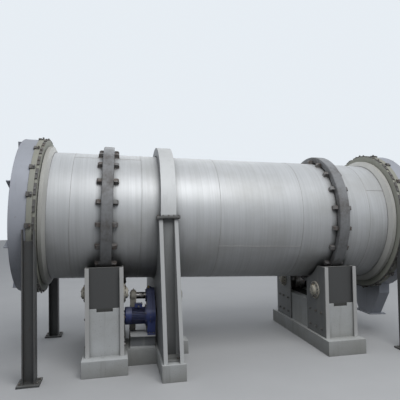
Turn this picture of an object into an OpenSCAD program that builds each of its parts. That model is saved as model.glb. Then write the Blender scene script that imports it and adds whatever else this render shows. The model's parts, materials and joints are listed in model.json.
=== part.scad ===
// Rotary kiln: a short inclined drum that turns on two tyres, driven by a girth gear and
// pinion inside a split guard, with a stationary hood at each end.
// Millimetres. +X is the discharge end, -Y the drive side, +Z up, and the ground is Z = 0.
// The drum line runs through the point axis_h above the origin and slopes down to +X.

/* [Kiln line] */
// Height of the drum axis above the ground at mid-length
axis_h = 1700; // [1680:10:1800]
// Slope of the drum axis, in degrees
kiln_slope = 2.1; // [1.5:0.1:2.6]
// Distance between the two tyres, centre to centre
tyre_span = 2904; // [2700:4:3100]

/* [Drum] */
// Outside radius of the drum shell
shell_r = 800; // [780:5:820]
// Plate thickness of the drum shell
shell_t = 12; // [8:1:20]
// How far the drum shell reaches into each hood past its seal face
shell_reach = 125; // [80:5:140]
// Thickness of the refractory lining
lining_t = 100; // [60:5:140]
// Length of bare shell left at each end of the lining
lining_inset = 30; // [20:5:60]

/* [Tyres] */
// Radial height of a tyre
tyre_h = 80; // [60:2:100]
// Width of a tyre
tyre_w = 130; // [110:5:150]
// Edge round of a tyre
tyre_round = 8; // [4:1:12]
// Number of pads under a tyre
pad_count = 20; // [16:1:24]
// Turn of the pads from the top of the drum, in degrees
pad_turn = 7; // [0:1:17]
// Thickness of a pad
pad_t = 20; // [14:1:26]
// Width of a pad around the shell
pad_w = 44; // [36:2:60]
// Radial gap between pads and tyre
pad_gap = 0.5; // [0.3:0.1:0.9]
// Height of a keeper block above its pad
keeper_h = 32; // [25:1:40]
// Length of a keeper block along the drum
keeper_len = 58; // [40:1:66]
// Gap between keeper block and tyre face
keeper_gap = 2; // [1:0.5:4]

/* [Support rollers] */
// Radius of a support roller
roller_r = 155; // [145:1:165]
// Width of a support roller
roller_w = 150; // [140:2:170]
// Angle of each roller from straight below the drum
roller_angle = 30; // [28:1:32]
// Gap between roller and tyre
roller_gap = 0.3; // [0.2:0.1:0.6]
// Radius of a roller shaft
roller_shaft_r = 35; // [30:1:40]
// Edge chamfer of a roller
roller_chamfer = 6; // [3:1:10]
// Length of the hub beyond each side of a roller
roller_hub_len = 18; // [10:1:24]
// Radius of a roller hub
roller_hub_r = 62; // [55:1:70]
// Running clearance of a shaft in its bearing
shaft_gap = 0.2; // [0.1:0.05:0.3]
// Clearance of a shaft where it passes through a plate
shaft_room = 8; // [6:1:12]

/* [Roller stands] */
// Overall width of a roller stand along the drum
stand_w = 426; // [410:2:440]
// Thickness of a stand's cheek plate
cheek_t = 14; // [10:1:18]
// Width of the flange along a cheek's outer edge
flange_w = 45; // [35:1:60]
// Thickness of that flange
flange_t = 12; // [8:1:16]
// Distance from the roller's outer side to the stand's outer face
stand_out = 117; // [100:1:140]
// Distance from the roller's inner side to the cheek's inner edge
stand_in = 100; // [80:1:120]
// Height of the stand's top above the roller centre
stand_rise = 328; // [300:2:340]
// Gap between the drum shell and a cheek plate
cheek_gap = 45; // [40:1:60]
// Depth of the recess in front of the stand's web plate
web_recess = 42; // [30:1:60]
// Thickness of the stand's web and cap plates
web_t = 8; // [6:1:12]
// Gap between the tyre and the stand's cap plate
cap_gap = 20; // [12:1:40]
// Radius of a roller bearing's flange
bearing_flange_r = 112; // [100:1:120]
// Thickness of that flange
bearing_flange_t = 16; // [12:1:20]
// Number of bolt holes in that flange
bearing_bolts = 12; // [8:1:12]
// Radius of the roller bearing's boss
bearing_boss_r = 64; // [58:1:70]
// Length of a roller bearing outside its cheek plate
bearing_len = 52; // [45:1:60]

/* [Piers] */
// Gap between the rollers and the pier's top
pier_gap = 12; // [8:1:20]
// Height of a pier's wider footing
footing_h = 180; // [150:5:220]
// How far a footing reaches past its pier along the drum
footing_step = 37; // [20:1:40]
// How far a footing reaches past the stands across the drum
footing_out = 120; // [80:5:150]
// How far a pier's end face stands behind the stand's flange
pier_recess = 28; // [20:1:40]
// Height of the kerb along a pier's ends, under the stand's web plate
kerb_h = 36; // [25:1:45]
// Thickness of that kerb
kerb_t = 62; // [50:1:70]
// Width of the notch in the kerb
notch_w = 180; // [140:5:220]
// Depth of the notch behind the kerb's face
notch_depth = 12; // [8:1:14]

/* [Girth gear and pinion] */
// Tooth module
gear_module = 20; // [18:1:22]
// Pressure angle, in degrees
pressure_angle = 20; // [20:1:25]
// Face width of the girth gear
gear_w = 90; // [80:2:96]
// Radial thickness of the gear's seat ring on the shell
gear_seat_t = 12; // [8:1:16]
// Least rim under the gear's tooth roots
gear_rim = 20; // [18:1:30]
// Number of teeth on the pinion
pinion_teeth = 17; // [16:1:18]
// Face width of the pinion
pinion_w = 100; // [96:2:110]
// Angle of the pinion below the horizontal, on the -Y side
mesh_angle = 75; // [72:1:78]
// Backlash between the teeth
backlash = 1.6; // [1:0.1:3]
// Radius of the pinion shaft
pinion_shaft_r = 42; // [38:1:46]

/* [Gear guard] */
// Gap between the pinion and the casing's side plates
guard_side_gap = 8; // [6:1:14]
// Gap between the girth gear and the cover's side plates
cover_side_gap = 37; // [30:1:45]
// Gap between the tooth tips and the guard's skin
guard_gap = 40; // [30:1:50]
// Thickness of the guard's sheet
guard_t = 6; // [4:0.5:8]
// Gap between the drum shell and the guard's side plates
guard_shell_gap = 16; // [14:1:24]
// How far the casing's side plates widen to the footing, on each side of the drum
guard_flare = 300; // [200:10:360]
// Width of the flange strips along the side plates' raking edges
guard_strip_w = 44; // [30:1:50]
// Thickness of those strips
guard_strip_t = 10; // [6:1:14]
// Depth of the casing's skin behind the guard's outer edge, at the split
guard_recess = 26; // [16:1:28]
// Height of the two split flanges together
split_h = 24; // [16:2:32]
// How far the split flanges stand out in front
split_out = 34; // [24:1:44]
// How far the split flanges stand out at the sides
split_side_out = 24; // [16:1:40]
// Height of the footing under the guard
guard_foot_h = 180; // [140:5:200]
// How far that footing reaches past the guard
guard_foot_out = 20; // [10:2:40]

/* [Drive] */
// Distance of the motor axis from the drum's centre plane
motor_y = 450; // [440:2:470]
// Gap between the roller bearings and the motor below them
motor_clear = 72; // [60:2:90]
// Height of the motor axis above the drive base's top
motor_rise = 202; // [196:2:220]
// Radius of the motor's body under its fins
motor_r = 86; // [80:1:90]
// Height of the cooling fins
fin_h = 15; // [8:1:16]
// Number of cooling fins
fin_count = 32; // [24:2:40]
// How far the fan cowl stands out past the fins
cowl_step = 4; // [3:1:6]
// Gap between the fan cowl and the feed stand
motor_gap = 15; // [12:1:30]
// Length of the motor's finned body
motor_len = 186; // [150:2:190]
// Length of the fan cowl
cowl_len = 68; // [50:2:70]
// Thickness of the motor's front flange
motor_flange_t = 16; // [12:1:20]
// Width of the gear reducer along the drum
reducer_w = 94; // [84:2:96]
// Width of the joint flange round the reducer's two halves
reducer_seam_w = 20; // [14:2:26]
// Height of that flange, and of the reducer's shaft covers
reducer_lip = 10; // [6:1:12]
// Radius of the shaft cover round the pinion shaft
reducer_cover_r = 78; // [70:1:84]
// Thickness of the feet under the reducer and the pinion bearings
drive_foot_t = 18; // [14:1:22]
// How far the base frame reaches past the reducer in front
base_out = 30; // [20:2:40]
// Gap between the gear reducer and the guard
reducer_gap = 9; // [6:1:14]
// Radius of the reducer's casing round the pinion shaft
reducer_out_r = 98; // [90:1:104]
// Radius of the reducer's casing round the motor shaft
reducer_in_r = 124; // [118:1:128]
// Length of the motor's terminal box
box_len = 90; // [80:2:110]
// Width of the terminal box
box_w = 84; // [70:2:90]
// Height of the terminal box
box_h = 36; // [30:1:46]
// Thickness of its lid
box_lid_t = 8; // [6:1:10]
// Height of the drive's steel base frame
drive_base_h = 150; // [130:5:160]
// Thickness of the base frame's flanges
base_flange_t = 14; // [10:1:18]
// Depth of the base frame's channels
base_channel = 50; // [40:2:60]
// Gap between the inner pinion bearing's foot and the guard
inner_bearing_gap = 12; // [8:1:20]
// Distance of the outer pinion bearing from the reducer
bearing_reach = 130; // [110:2:134]
// Width of a pinion bearing along its shaft
pinion_bearing_w = 70; // [60:1:76]
// Height of a pinion bearing's pillow block above its shaft
pinion_bearing_r = 72; // [66:1:74]

/* [Hoods] */
// Distance from mid-length to each seal face
seal_s = 2194; // [2180:2:2230]
// Depth of a hood behind its seal face
hood_len = 270; // [255:1:300]
// Gap between the drum shell and the hood's outer skin
hood_gap = 145; // [130:1:160]
// Thickness of the hood's plate
hood_t = 10; // [8:1:14]
// Width of the seal housing at the front of a hood
housing_len = 89; // [80:1:100]
// How far the seal housing stands out from the hood's skin
housing_step = 12; // [8:1:16]
// Gap between the drum shell and the hood's inner lip
lip_gap = 14; // [10:1:24]
// Number of clamp positions round the seal housing
clamp_count = 18; // [16:1:20]
// Turn of the first clamp from the far side, in degrees
clamp_turn = 7; // [0:1:19]
// Thickness of a seal clamp
clamp_t = 16; // [10:1:20]
// Width of a seal clamp round the housing
clamp_w = 50; // [40:1:60]
// Number of spring leaves round the seal housing's front edge
leaf_count = 32; // [28:1:36]
// Length of a leaf along the drum
leaf_len = 30; // [24:1:36]
// Thickness of a leaf
leaf_t = 12; // [8:1:14]
// Gap between two leaves
leaf_gap = 54; // [40:1:60]
// Gap between the seal face and the drum's seal ring
seal_gap = 8; // [6:1:12]
// Width of the seal ring on the shell
ring_band_len = 74; // [60:2:90]
// Width of the seal ring's raised rim
ring_rim_len = 44; // [36:2:50]
// Height of that rim above the shell
ring_rim_h = 70; // [60:1:90]
// Number of stiffeners on a hood's end plate
rib_count = 8; // [6:2:12]
// Height of those stiffeners
rib_h = 50; // [30:2:70]
// Thickness of those stiffeners
rib_t = 10; // [8:1:14]

/* [Hood openings] */
// Outside radius of the feed inlet pipe
inlet_r = 150; // [130:1:170]
// Outside radius of the burner port
burner_r = 120; // [110:1:126]
// Wall of the end pipes
port_t = 8; // [6:1:12]
// Length of the end pipes
port_len = 150; // [120:2:180]
// How far the end pipes' flanges reach past the pipe
port_flange_w = 55; // [50:1:65]
// Distance of the bolts' circle outside the pipe
port_bolt_out = 30; // [28:1:34]
// Thickness of the flanges on the pipes and the chute
flange_plate_t = 16; // [12:1:20]
// Number of bolts in an end pipe's flange
port_bolts = 8; // [6:1:12]
// Radius of a bolt hole
bolt_r = 9; // [8:0.5:11]
// Width of the discharge chute across the drum, at its top
chute_top_w = 700; // [600:10:800]
// Width of the discharge chute across the drum, at its outlet
chute_w = 300; // [260:10:360]
// Distance of the chute's outlet below the drum axis
chute_drop = 1340; // [1300:10:1400]
// Distance of the chute from the seal housing
chute_inset = 16; // [14:1:30]
// Length of the chute's straight top, below the hood
chute_neck = 60; // [40:5:80]
// Width of the flange round the chute's outlet
chute_flange_w = 50; // [40:1:60]
// Wall of the chute
chute_t = 8; // [6:1:10]

/* [Hood posts] */
// Width of a hood post along the drum
post_w = 130; // [120:2:140]
// Depth of a hood post across the drum
post_depth = 150; // [140:2:160]
// Thickness of a post's flanges
post_flange_t = 12; // [8:1:14]
// Thickness of a post's web
post_web_t = 8; // [6:1:10]
// How far a post's outer face stands outside the hood's skin
post_out = 40; // [30:1:50]
// Drop of a post's top below the drum axis
post_drop = 156; // [140:2:180]
// Width of a post's foot plate
foot_w = 230; // [210:5:250]
// Thickness of a post's foot plate
foot_t = 20; // [15:1:25]

/* [Hidden] */
$fn = 96;

// Half the distance between the tyres, and half the shell's length
tyre_s = tyre_span / 2;
shell_half = seal_s + shell_reach;
// Tyre radii
tyre_in = shell_r + pad_t + pad_gap;
tyre_r = tyre_in + tyre_h;
// Place of a roller's axis, from the drum axis
roller_reach = tyre_r + roller_gap + roller_r;
roller_y = roller_reach * sin(roller_angle);
roller_z = -roller_reach * cos(roller_angle);
// Place of a roller station: it stands plumb, under the drum axis and level with its rollers.
// Its own frame starts on the drum axis, so a roller's centre lies station_roller_z above it.
station_lean = roller_z * sin(kiln_slope);
station_roller_z = roller_z / cos(kiln_slope);
// Outline of a roller station, from the drum axis
stand_face_y = roller_y + roller_r + stand_out;
stand_back_y = roller_y - roller_r - stand_in;
stand_top_z = station_roller_z + stand_rise;
pier_top_z = station_roller_z - roller_r - pier_gap;
cheek_r = shell_r + cheek_gap;
roller_shaft_half = stand_w / 2 + bearing_len - shaft_room;
// Gear sizes: the tooth count follows the shell
gear_teeth = ceil((2 * (shell_r + gear_seat_t + gear_rim) + 2.5 * gear_module) / gear_module);
gear_pitch_r = gear_teeth * gear_module / 2;
gear_tip_r = gear_pitch_r + gear_module;
gear_bore_r = shell_r + gear_seat_t;
pinion_pitch_r = pinion_teeth * gear_module / 2;
mesh_reach = gear_pitch_r + pinion_pitch_r;
mesh_dir = 180 + mesh_angle;
pinion_y = mesh_reach * cos(mesh_dir);
pinion_z = mesh_reach * sin(mesh_dir);
// Depth of the motor axis and of the drive base's top below the drum axis
cowl_r = motor_r + fin_h + cowl_step;
motor_drop = -roller_z + bearing_flange_r + motor_clear + cowl_r;
drive_floor = motor_drop + motor_rise;
// The sloping drive leans along the drum: at the pinion, the motor, the reducer's top and the floor
pinion_lean = (mesh_reach + pinion_pitch_r + gear_module) * sin(kiln_slope);
motor_lean = motor_drop * sin(kiln_slope);
top_lean = (-pinion_z - reducer_out_r) * sin(kiln_slope);
floor_lean = (drive_floor + drive_base_h) * sin(kiln_slope);
guard_w = pinion_w + 2 * (pinion_lean + guard_side_gap + guard_t);
cover_w = gear_w + 2 * (cover_side_gap + guard_t);
// Drive places along the drum, from the feed stand to the gear
cowl_s = (station_x(-1) + stand_w / 2 + motor_lean) / cos(kiln_slope) + motor_gap;
motor_s = cowl_s + cowl_len;
motor_front_s = motor_s + motor_len;
reducer_s = motor_front_s + motor_flange_t;
gear_s = reducer_s + reducer_w + reducer_gap - top_lean + guard_w / 2;
outer_bearing_s = reducer_s - bearing_reach - pinion_bearing_w / 2;
inner_bearing_s = gear_s + guard_w / 2 + guard_foot_out + floor_lean
    + inner_bearing_gap + pinion_bearing_w / 2;
// Drive base frame, under the motor and the reducer
base_left_s = outer_bearing_s - pinion_bearing_w / 2;
base_right_s = reducer_s + reducer_w;
base_front_y = -motor_y - reducer_in_r - base_out;
base_back_y = pinion_y - pinion_bearing_r - shaft_room;
drive_ground_z = -drive_floor - drive_base_h;
// Guard place: its casing stands plumb, so its middle is worked out in the level frame
guard_x = gear_s * cos(kiln_slope);
guard_z = axis_h - gear_s * sin(kiln_slope);
guard_r = gear_tip_r + guard_gap;
guard_hole_r = shell_r + guard_shell_gap;
// Hood radii
hood_r = shell_r + hood_gap;
housing_r = hood_r + housing_step;
lip_r = shell_r + lip_gap;
hood_back_s = seal_s + hood_len;
housing_back_s = seal_s + housing_len;
post_in_y = hood_r + post_out - post_depth;
// End pipes: both flanges have the same size
port_flange_r = inlet_r + port_flange_w;
// Chute place behind the discharge hood's skin
chute_s = -hood_back_s + hood_t;
chute_len = hood_len - housing_len - hood_t - chute_inset;
// A length past everything, for cutting blocks and bores
far = 2 * hood_back_s;

// World x of a roller station's middle
function station_x(side) = side * tyre_s * cos(kiln_slope) + station_lean;

// The drum's own frame: x along the axis from mid-length, z square to it
module drum_frame() {
    translate([0, 0, axis_h]) rotate([0, kiln_slope, 0]) children();
}

// Turns a drawing in the Y-Z plane, or a revolved profile, to stand across the drum at s
module across(s) {
    translate([s, 0, 0]) rotate([90, 0, 90]) children();
}

// A ring round the drum axis, from s = from to s = to
module ring(from, to, inner, outer) {
    across(from) difference() {
        cylinder(r = outer, h = to - from);
        translate([0, 0, -1]) cylinder(r = inner, h = to - from + 2);
    }
}

// Everything below a plane along the drum, as one large block
module below_line(z) {
    drum_frame() translate([-far, -far, z - far]) cube([2 * far, 2 * far, far]);
}

// A long cylinder along the drum line, off its axis by y and z
module drum_bore(y, z, r) {
    drum_frame() translate([0, y, z]) across(-far) cylinder(r = r, h = 2 * far);
}

// The discharge end mirrors the feed end in the drum's frame
module at_end(side) {
    drum_frame() mirror([side > 0 ? 1 : 0, 0, 0]) children();
}

// Involute tooth shape

// Involute of an angle in degrees, in degrees
function involute(angle) = tan(angle) * 180 / PI - angle;

// Half the angle that a tooth takes up at radius r
function half_tooth(r, pitch_r, teeth) =
    let (base_r = pitch_r * cos(pressure_angle))
    90 / teeth - backlash / 4 / pitch_r * 180 / PI
        + involute(pressure_angle) - involute(acos(min(1, base_r / max(r, base_r))));

// Point of a tooth flank at radius r: hand is -1 or 1
function flank_point(r, pitch_r, teeth, middle, hand) =
    let (angle = middle + hand * half_tooth(r, pitch_r, teeth))
    [r * cos(angle), r * sin(angle)];

// A spur gear's outline, with tooth 0 in the direction first
module gear_outline(teeth, first) {
    pitch_r = teeth * gear_module / 2;
    root_r = pitch_r - 1.25 * gear_module;
    tip_r = pitch_r + gear_module;
    steps = 4;
    radii = [for (i = [0:steps]) root_r + (tip_r - root_r) * i / steps];
    polygon([
        for (tooth = [0:teeth - 1])
            let (middle = first + tooth * 360 / teeth)
            each concat(
                [for (i = [0:steps]) flank_point(radii[i], pitch_r, teeth, middle, -1)],
                [for (i = [steps:-1:0]) flank_point(radii[i], pitch_r, teeth, middle, 1)]
            )
    ]);
}

// Drum

module drum_shell() {
    color("lightgray") drum_frame()
        ring(-shell_half, shell_half, shell_r - shell_t, shell_r);
}

module drum_lining() {
    lining_half = shell_half - lining_inset;
    color("tan") drum_frame()
        ring(-lining_half, lining_half, shell_r - shell_t - lining_t, shell_r - shell_t);
}

// Ring on the shell that closes the gap to the hood's seal face
module seal_ring(side) {
    at_end(side) across(-seal_s + seal_gap) rotate_extrude() polygon([
        [shell_r, 0], [shell_r + ring_rim_h, 0], [shell_r + ring_rim_h, ring_rim_len],
        [shell_r + shell_t, ring_band_len], [shell_r, ring_band_len]
    ]);
}

module feed_seal_ring() { color("lightgray") seal_ring(-1); }
module discharge_seal_ring() { color("lightgray") seal_ring(1); }

module tyre(side) {
    drum_frame() across(side * tyre_s - tyre_w / 2) rotate_extrude() polygon([
        [tyre_in, 0], [tyre_r - tyre_round, 0], [tyre_r, tyre_round],
        [tyre_r, tyre_w - tyre_round], [tyre_r - tyre_round, tyre_w], [tyre_in, tyre_w]
    ]);
}

module feed_tyre() { color("dimgray") tyre(-1); }
module discharge_tyre() { color("dimgray") tyre(1); }

// Pads under the tyre, each with a keeper block at both ends
module tyre_pads(side) {
    pad_angle = pad_w / shell_r * 180 / PI;
    pad_half = tyre_w / 2 + keeper_gap + keeper_len;
    keeper_in = tyre_w / 2 + keeper_gap;
    pad_top = shell_r + pad_t;
    drum_frame() across(side * tyre_s)
        for (i = [0:pad_count - 1])
            rotate([0, 0, 90 + pad_turn + i * 360 / pad_count - pad_angle / 2])
                rotate_extrude(angle = pad_angle) polygon([
                    [shell_r, -pad_half], [pad_top + keeper_h / 2, -pad_half],
                    [pad_top + keeper_h, -pad_half + keeper_h / 2], [pad_top + keeper_h, -keeper_in],
                    [pad_top, -keeper_in], [pad_top, keeper_in],
                    [pad_top + keeper_h, keeper_in], [pad_top + keeper_h, pad_half - keeper_h / 2],
                    [pad_top + keeper_h / 2, pad_half], [shell_r, pad_half]
                ]);
}

module feed_tyre_pads() { color("gray") tyre_pads(-1); }
module discharge_tyre_pads() { color("gray") tyre_pads(1); }

module girth_gear() {
    color("dimgray") drum_frame() across(gear_s - gear_w / 2) linear_extrude(gear_w)
        difference() {
            gear_outline(gear_teeth, mesh_dir);
            circle(r = gear_bore_r);
        }
}

// Seat ring on the shell, with the flange that the gear is bolted to
module gear_seat() {
    color("gray") drum_frame() {
        ring(gear_s - gear_w / 2, gear_s + gear_w / 2, shell_r, gear_bore_r);
        ring(gear_s + gear_w / 2, gear_s + gear_w / 2 + gear_seat_t,
             shell_r, gear_bore_r + gear_rim);
    }
}

// Roller stations

module roller(side, hand) {
    drum_frame() translate([side * tyre_s, hand * roller_y, roller_z])
        across(0) rotate_extrude() polygon([
            [0, -roller_shaft_half], [roller_shaft_r, -roller_shaft_half],
            [roller_shaft_r, -roller_w / 2 - roller_hub_len],
            [roller_hub_r, -roller_w / 2 - roller_hub_len], [roller_hub_r, -roller_w / 2],
            [roller_r - roller_chamfer, -roller_w / 2], [roller_r, -roller_w / 2 + roller_chamfer],
            [roller_r, roller_w / 2 - roller_chamfer], [roller_r - roller_chamfer, roller_w / 2],
            [roller_hub_r, roller_w / 2], [roller_hub_r, roller_w / 2 + roller_hub_len],
            [roller_shaft_r, roller_w / 2 + roller_hub_len],
            [roller_shaft_r, roller_shaft_half], [0, roller_shaft_half]
        ]);
}

module feed_roller_front() { color("slategray") roller(-1, -1); }
module feed_roller_back() { color("slategray") roller(-1, 1); }
module discharge_roller_front() { color("slategray") roller(1, -1); }
module discharge_roller_back() { color("slategray") roller(1, 1); }

// A roller station's own frame: plumb, from the drum axis over the rollers' middle
module station_frame(side) {
    translate([station_x(side), 0, axis_h - station_x(side) * tan(kiln_slope)]) children();
}

// Cheek plate with its edge flange, from the footing up, at the station's end -1 or 1
module cheek(end, foot_z) {
    across(end > 0 ? stand_w / 2 - cheek_t : -stand_w / 2) linear_extrude(cheek_t)
        translate([stand_back_y, foot_z])
            square([stand_face_y - stand_back_y, stand_top_z - foot_z]);
    across(end > 0 ? stand_w / 2 - flange_w : -stand_w / 2) linear_extrude(flange_w)
        translate([stand_face_y - flange_t, foot_z])
            square([flange_t, stand_top_z - foot_z]);
}

// Two cheek plates with edge flanges, a recessed web and a cap cut round the tyre
module roller_stand(side, hand) {
    web_y = stand_face_y - web_recess;
    foot_z = footing_h - axis_h + station_x(side) * tan(kiln_slope);
    inside_w = stand_w - 2 * cheek_t;
    difference() {
        station_frame(side) mirror([0, hand < 0 ? 1 : 0, 0]) {
            cheek(-1, foot_z);
            cheek(1, foot_z);
            across(-inside_w / 2) linear_extrude(inside_w)
                translate([web_y - web_t, pier_top_z + kerb_h])
                    square([web_t, stand_top_z - pier_top_z - kerb_h]);
        }
        drum_bore(0, 0, cheek_r);
        drum_bore(hand * roller_y, roller_z, roller_shaft_r + shaft_room);
    }
    difference() {
        station_frame(side) mirror([0, hand < 0 ? 1 : 0, 0])
            across(-inside_w / 2) linear_extrude(inside_w)
                translate([0, stand_top_z - web_t]) square([web_y - web_t, web_t]);
        drum_bore(0, 0, tyre_r + cap_gap);
    }
}

module feed_stand_front() { color("silver") roller_stand(-1, -1); }
module feed_stand_back() { color("silver") roller_stand(-1, 1); }
module discharge_stand_front() { color("silver") roller_stand(1, -1); }
module discharge_stand_back() { color("silver") roller_stand(1, 1); }

// Flanged bearing body, to stand on the outside of a cheek
module flange_bearing() {
    bolt_circle = (bearing_flange_r + bearing_boss_r) / 2 + shaft_room / 2;
    rotate([90, 0, 90]) difference() {
        rotate_extrude() polygon([
            [0, 0], [bearing_flange_r, 0], [bearing_flange_r, bearing_flange_t],
            [bearing_boss_r + flange_t, bearing_flange_t],
            [bearing_boss_r, bearing_flange_t + flange_t], [bearing_boss_r, bearing_len - web_t],
            [bearing_boss_r - web_t, bearing_len], [0, bearing_len]
        ]);
        for (i = [0:bearing_bolts - 1]) rotate([0, 0, (i + 0.5) * 360 / bearing_bolts])
            translate([bolt_circle, 0, -1]) cylinder(r = bolt_r, h = bearing_flange_t + 2);
    }
}

// The bearings stand plumb on the cheeks, each at the height that the sloping shaft has there
module roller_bearings(side) {
    rise = (stand_w + bearing_len) / 2 * tan(kiln_slope);
    difference() {
        station_frame(side) for (hand = [-1, 1], end = [-1, 1])
            translate([end * stand_w / 2, hand * roller_y, station_roller_z - end * rise])
                mirror([end < 0 ? 1 : 0, 0, 0]) flange_bearing();
        for (hand = [-1, 1]) drum_bore(hand * roller_y, roller_z, roller_shaft_r + shaft_gap);
    }
}

module feed_roller_bearings() { color("slategray") roller_bearings(-1); }
module discharge_roller_bearings() { color("slategray") roller_bearings(1); }

// Concrete pier between the cheek plates, on a wider footing, with a notched kerb at both ends
module pier(side) {
    half_w = stand_w / 2 + footing_step;
    inside_w = stand_w - 2 * cheek_t;
    pier_end = stand_face_y - pier_recess;
    top_z = axis_h - station_x(side) * tan(kiln_slope) + pier_top_z;
    translate([station_x(side), 0, 0]) {
        translate([-half_w, -stand_face_y - footing_out, 0])
            cube([2 * half_w, 2 * (stand_face_y + footing_out), footing_h]);
        translate([-inside_w / 2, -pier_end, 0]) cube([inside_w, 2 * pier_end, top_z]);
        for (hand = [0, 1]) mirror([0, hand, 0]) difference() {
            translate([-inside_w / 2, pier_end - kerb_t, top_z - kerb_h])
                cube([inside_w, kerb_t, 2 * kerb_h]);
            translate([-notch_w / 2, pier_end - notch_depth, top_z])
                cube([notch_w, kerb_t, 2 * kerb_h]);
        }
    }
}

module feed_pier() { color("gainsboro") pier(-1); }
module discharge_pier() { color("gainsboro") pier(1); }

// Gear guard

// The guard's own frame: plumb, with its middle on the gear's centre
module guard_frame() {
    translate([guard_x, 0, guard_z]) children();
}

// Everything above the guard's split
module above_split() {
    guard_frame() translate([-far, -far, 0]) cube([2 * far, 2 * far, far]);
}

// Flange plate along the split, open over the guard's inside, which is inner_w wide
module split_plate(z_from, inner_w) {
    outer_w = guard_w + 2 * split_side_out;
    outer_y = guard_r + split_out;
    inner_y = guard_r - guard_recess - guard_t;
    guard_frame() translate([0, 0, z_from]) linear_extrude(split_h / 2) difference() {
        translate([-outer_w / 2, -outer_y]) square([outer_w, 2 * outer_y]);
        translate([-inner_w / 2, -inner_y]) square([inner_w, 2 * inner_y]);
    }
}

// Upper half: two side plates and a skin, square to the drum and cut level at the split
module guard_cover() {
    inner_w = cover_w - 2 * guard_t;
    color("whitesmoke") difference() {
        union() {
            intersection() {
                drum_frame() across(gear_s - cover_w / 2) difference() {
                    cylinder(r = guard_r, h = cover_w);
                    translate([0, 0, guard_t]) cylinder(r = guard_r - guard_t, h = inner_w);
                }
                above_split();
            }
            split_plate(0, inner_w);
        }
        drum_bore(0, 0, guard_hole_r);
    }
}

// Lower half: plumb side plates that widen to the footing, with flange strips along their
// edges, and a skin set back between them
module guard_casing() {
    half_w = guard_w / 2;
    depth = guard_z - guard_foot_h;
    foot_y = guard_r + guard_flare;
    skin_y = guard_r - guard_recess;
    inner_w = guard_w - 2 * guard_t;
    color("lightgray") difference() {
        union() {
            guard_frame() {
                for (x = [-half_w, half_w - guard_t]) across(x) linear_extrude(guard_t)
                    polygon([[-guard_r, 0], [guard_r, 0], [foot_y, -depth], [-foot_y, -depth]]);
                for (x = [-half_w, half_w - guard_strip_w], hand = [0, 1])
                    mirror([0, hand, 0]) across(x) linear_extrude(guard_strip_w) polygon([
                        [guard_r, 0], [foot_y, -depth],
                        [foot_y - guard_strip_t, -depth], [guard_r - guard_strip_t, 0]
                    ]);
                for (y = [-skin_y, skin_y - guard_t]) translate([-inner_w / 2, y, -depth])
                    cube([inner_w, guard_t, depth]);
                translate([-inner_w / 2, -skin_y, -depth]) cube([inner_w, 2 * skin_y, guard_t]);
            }
            split_plate(-split_h / 2, inner_w);
        }
        drum_bore(0, 0, guard_hole_r);
        drum_bore(pinion_y, pinion_z, pinion_shaft_r + shaft_room);
    }
}

// Drive

// Pinion cut on its shaft, in mesh with the girth gear at rest
module pinion() {
    shaft_out = pinion_bearing_w / 2 + shaft_room;
    shaft_from = outer_bearing_s - shaft_out;
    shaft_to = inner_bearing_s + shaft_out;
    hub_w = pinion_w + shaft_room;
    color("dimgray") drum_frame() translate([0, pinion_y, pinion_z]) {
        across(gear_s - pinion_w / 2) linear_extrude(pinion_w)
            gear_outline(pinion_teeth, mesh_dir + 180 + 180 / pinion_teeth);
        across(shaft_from) cylinder(r = pinion_shaft_r, h = shaft_to - shaft_from);
        across(gear_s - hub_w / 2) cylinder(r = pinion_shaft_r + shaft_room, h = hub_w);
    }
}

// Pillow block on a tapered pedestal, with its middle at s
module pillow_block(s) {
    rib_r = pinion_bearing_r - flange_t;
    foot_half = pinion_bearing_r + drive_foot_t / 4;
    drum_frame() across(s - pinion_bearing_w / 2) difference() {
        translate([pinion_y, 0]) {
            translate([0, pinion_z, 0]) cylinder(r = rib_r, h = pinion_bearing_w);
            translate([0, pinion_z, flange_t])
                cylinder(r = pinion_bearing_r, h = pinion_bearing_w - 2 * flange_t);
            linear_extrude(pinion_bearing_w) polygon([
                [-rib_r, pinion_z], [rib_r, pinion_z],
                [pinion_bearing_r, drive_ground_z], [-pinion_bearing_r, drive_ground_z]
            ]);
            linear_extrude(pinion_bearing_w) translate([-foot_half, drive_ground_z])
                square([2 * foot_half, drive_foot_t]);
        }
        translate([pinion_y, pinion_z, -1])
            cylinder(r = pinion_shaft_r + shaft_gap, h = pinion_bearing_w + 2);
    }
}

module pinion_bearing_outer() { color("tan") pillow_block(outer_bearing_s); }
module pinion_bearing_inner() { color("tan") pillow_block(inner_bearing_s); }

// Outline of the reducer's casing round its two shafts, grown by a lip
module reducer_outline(grow) {
    reach = norm([pinion_y + motor_y, pinion_z + motor_drop]);
    turn = atan2(pinion_z + motor_drop, pinion_y + motor_y);
    tuck = 4;
    in_half = reducer_in_r + grow - tuck;
    out_half = reducer_out_r + grow - tuck;
    translate([-motor_y, -motor_drop]) {
        circle(r = reducer_in_r + grow);
        rotate([0, 0, turn])
            polygon([[0, -in_half], [reach, -out_half], [reach, out_half], [0, in_half]]);
    }
    translate([pinion_y, pinion_z]) circle(r = reducer_out_r + grow);
}

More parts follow.
